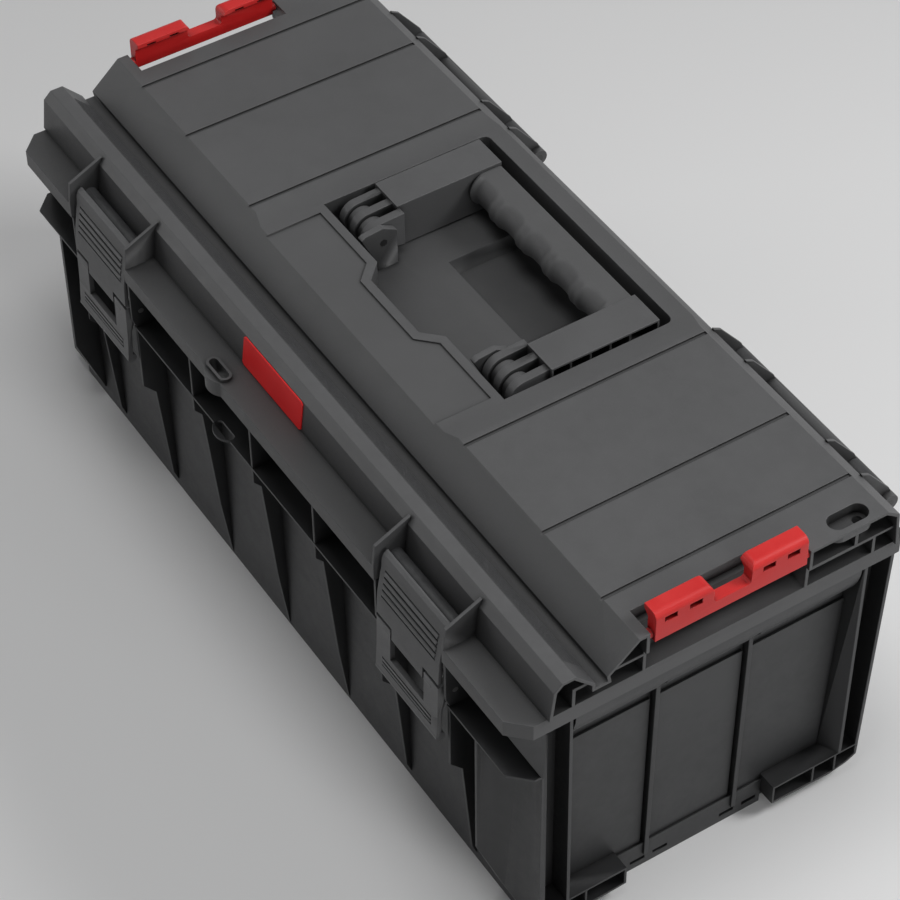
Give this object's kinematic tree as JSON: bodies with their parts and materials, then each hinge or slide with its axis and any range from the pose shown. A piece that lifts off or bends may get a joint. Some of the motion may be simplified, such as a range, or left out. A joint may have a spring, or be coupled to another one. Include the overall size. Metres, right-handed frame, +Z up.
{
  "type": "latched tool case",
  "caption": "Long moulded tool case with a hinged lid, draw latches on the front, a fold-down handle in the deck and red stacking clips on the ends.",
  "frame": {"origin": "middle of the footprint on the ground", "axes": "+X along the case to its right end, -Y towards the latches, +Z up"},
  "size_m": [0.793, 0.385, 0.34],
  "materials": {
    "tub_plastic": "fine-grained black moulding",
    "lid_plastic": "fine-grained dark grey moulding",
    "handle_plastic": "fine-grained dark grey moulding",
    "grip_plastic": "soft dark grey overmould",
    "latch_plastic": "fine-grained dark grey moulding",
    "bar_plastic": "smooth black moulding",
    "clip_red": "satin red moulding",
    "label_red": "bare red plate",
    "seal_rubber": "black foam seal",
    "pin_steel": "plain steel"
  },
  "bodies": {
    "case_body": {"tub": "tub_plastic", "hinge_rod_left": "pin_steel", "hinge_rod_right": "pin_steel", "lever_pin_left": "pin_steel", "lever_pin_right": "pin_steel"},
    "lid": {"lid_shell": "lid_plastic", "lid_inner_panel": "tub_plastic", "lid_gasket": "seal_rubber", "label_plate": "label_red", "catch_bar_left": "bar_plastic", "catch_bar_right": "bar_plastic", "handle_pin_left": "pin_steel", "handle_pin_right": "pin_steel", "clip_pin_left": "pin_steel", "clip_pin_right": "pin_steel"},
    "handle": {"handle_frame": "handle_plastic", "handle_grip": "grip_plastic"},
    "lever_left": {"latch_lever_left": "latch_plastic", "hook_pin_left": "pin_steel"},
    "lever_right": {"latch_lever_right": "latch_plastic", "hook_pin_right": "pin_steel"},
    "hook_left": {"latch_hook_left": "latch_plastic"},
    "hook_right": {"latch_hook_right": "latch_plastic"},
    "clip_left": {"end_clip_left": "clip_red"},
    "clip_right": {"end_clip_right": "clip_red"}
  },
  "joints": [
    {"name": "lid_swing", "type": "hinge", "parent": "case_body", "child": "lid", "pos_m": [0, 0.1845, 0.272], "axis": [-1, 0, 0], "range_deg": [0, 105]},
    {"name": "handle_fold", "type": "hinge", "parent": "lid", "child": "handle", "pos_m": [0, -0.0037, 0.304], "axis": [1, 0, 0], "range_deg": [0, 90]},
    {"name": "lever_left_pull", "type": "hinge", "parent": "case_body", "child": "lever_left", "pos_m": [-0.246, -0.1773, 0.2272], "axis": [-1, 0, 0], "range_deg": [0, 100]},
    {"name": "hook_left_turn", "type": "hinge", "parent": "lever_left", "child": "hook_left", "pos_m": [-0.246, -0.1845, 0.221], "axis": [-1, 0, 0], "range_deg": [-120, 0]},
    {"name": "clip_left_swing", "type": "hinge", "parent": "lid", "child": "clip_left", "pos_m": [-0.3905, 0, 0.3165], "axis": [0, -1, 0], "range_deg": [0, 35]},
    {"name": "lever_right_pull", "type": "hinge", "parent": "case_body", "child": "lever_right", "pos_m": [0.246, -0.1773, 0.2272], "axis": [-1, 0, 0], "range_deg": [0, 100]},
    {"name": "hook_right_turn", "type": "hinge", "parent": "lever_right", "child": "hook_right", "pos_m": [0.246, -0.1845, 0.221], "axis": [-1, 0, 0], "range_deg": [-120, 0]},
    {"name": "clip_right_swing", "type": "hinge", "parent": "lid", "child": "clip_right", "pos_m": [0.3905, 0, 0.3165], "axis": [0, 1, 0], "range_deg": [0, 35]}
  ],
  "couplings": [
    {"joint": "hook_left_turn", "follows": "lever_left_pull", "ratio": -1.2},
    {"joint": "hook_right_turn", "follows": "lever_right_pull", "ratio": -1.2}
  ]
}
